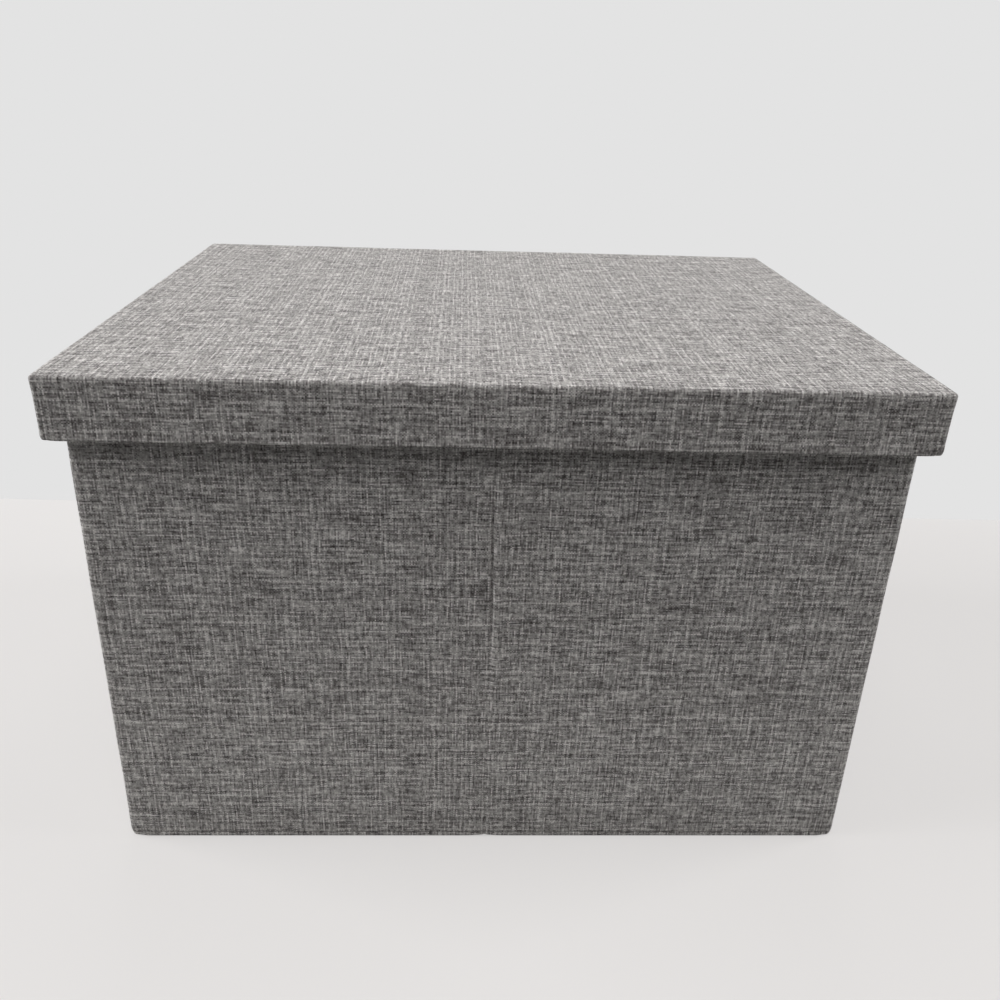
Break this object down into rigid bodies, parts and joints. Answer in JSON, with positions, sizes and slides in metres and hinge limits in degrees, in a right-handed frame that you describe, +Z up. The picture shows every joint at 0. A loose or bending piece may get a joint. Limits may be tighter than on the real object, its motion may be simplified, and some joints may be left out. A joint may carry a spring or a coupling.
{
  "type": "file box",
  "caption": "Collapsible linen-covered file box with a lift-off lid, hanging-file rails and hand holes; its wide walls fold in at a centre crease.",
  "frame": {"origin": "on the ground, under the middle of the box", "axes": "+Z up, the wide front wall faces -Y, +X to the right seen from the front"},
  "size_m": [0.406, 0.328, 0.264],
  "materials": {
    "linen": "grey slub linen, plain weave",
    "greyboard": "raw grey board",
    "lining": "grey non-woven lining",
    "plastic": "dark grey moulded plastic"
  },
  "bodies": {
    "floor": {"floor_cloth": "linen", "base_board": "greyboard", "base_board_wrap": "lining"},
    "left_wall": {"left_wall_board": "greyboard", "left_wall_cover": "linen", "left_wall_lining": "lining", "front_left_corner_linen": "linen", "back_left_corner_linen": "linen", "left_rail": "plastic", "left_grip_outer": "plastic", "left_grip_inner": "plastic"},
    "right_wall": {"right_wall_board": "greyboard", "right_wall_cover": "linen", "right_wall_lining": "lining", "front_right_corner_linen": "linen", "back_right_corner_linen": "linen", "right_rail": "plastic", "right_grip_outer": "plastic", "right_grip_inner": "plastic"},
    "front_left_panel": {"front_left_board": "greyboard", "front_left_cover": "linen", "front_left_lining": "lining", "front_crease_linen": "linen", "front_crease_lining": "lining"},
    "front_right_panel": {"front_right_board": "greyboard", "front_right_cover": "linen", "front_right_lining": "lining"},
    "back_left_panel": {"back_left_board": "greyboard", "back_left_cover": "linen", "back_left_lining": "lining", "back_crease_linen": "linen", "back_crease_lining": "lining"},
    "back_right_panel": {"back_right_board": "greyboard", "back_right_cover": "linen", "back_right_lining": "lining"},
    "lid": {"lid_top_board": "greyboard", "lid_front_rim_board": "greyboard", "lid_back_rim_board": "greyboard", "lid_left_rim_board": "greyboard", "lid_right_rim_board": "greyboard", "lid_cover": "linen", "lid_lining": "lining"}
  },
  "joints": [
    {"name": "left_wall_lean", "type": "hinge", "parent": "floor", "child": "left_wall", "pos_m": [-0.1914, -0.1524, 0], "axis": [0, 0, 1], "range_deg": [-6.8, 0]},
    {"name": "wall_fold", "type": "hinge", "parent": "left_wall", "child": "front_left_panel", "pos_m": [-0.1914, -0.1524, 0], "axis": [0, 0, 1], "range_deg": [0, 86.8]},
    {"name": "front_crease_fold", "type": "hinge", "parent": "front_left_panel", "child": "front_right_panel", "pos_m": [0, -0.156, 0], "axis": [0, 0, 1], "range_deg": [-160, 0]},
    {"name": "front_right_corner_fold", "type": "hinge", "parent": "front_right_panel", "child": "right_wall", "pos_m": [0.1914, -0.1524, 0], "axis": [0, 0, 1], "range_deg": [0, 73.2]},
    {"name": "back_left_corner_fold", "type": "hinge", "parent": "left_wall", "child": "back_left_panel", "pos_m": [-0.1914, 0.1524, 0], "axis": [0, 0, 1], "range_deg": [-73.2, 0]},
    {"name": "back_crease_fold", "type": "hinge", "parent": "back_left_panel", "child": "back_right_panel", "pos_m": [0, 0.156, 0], "axis": [0, 0, 1], "range_deg": [0, 160]},
    {"name": "lid_lift", "type": "slide", "parent": "floor", "child": "lid", "axis": [0, 0, 1], "range_m": [0, 0.16]}
  ],
  "couplings": [
    {"joint": "left_wall_lean", "follows": "wall_fold", "ratio": -0.078341},
    {"joint": "front_crease_fold", "follows": "wall_fold", "ratio": -1.8433},
    {"joint": "front_right_corner_fold", "follows": "wall_fold", "ratio": 0.84332},
    {"joint": "back_left_corner_fold", "follows": "wall_fold", "ratio": -0.84332},
    {"joint": "back_crease_fold", "follows": "wall_fold", "ratio": 1.8433}
  ]
}
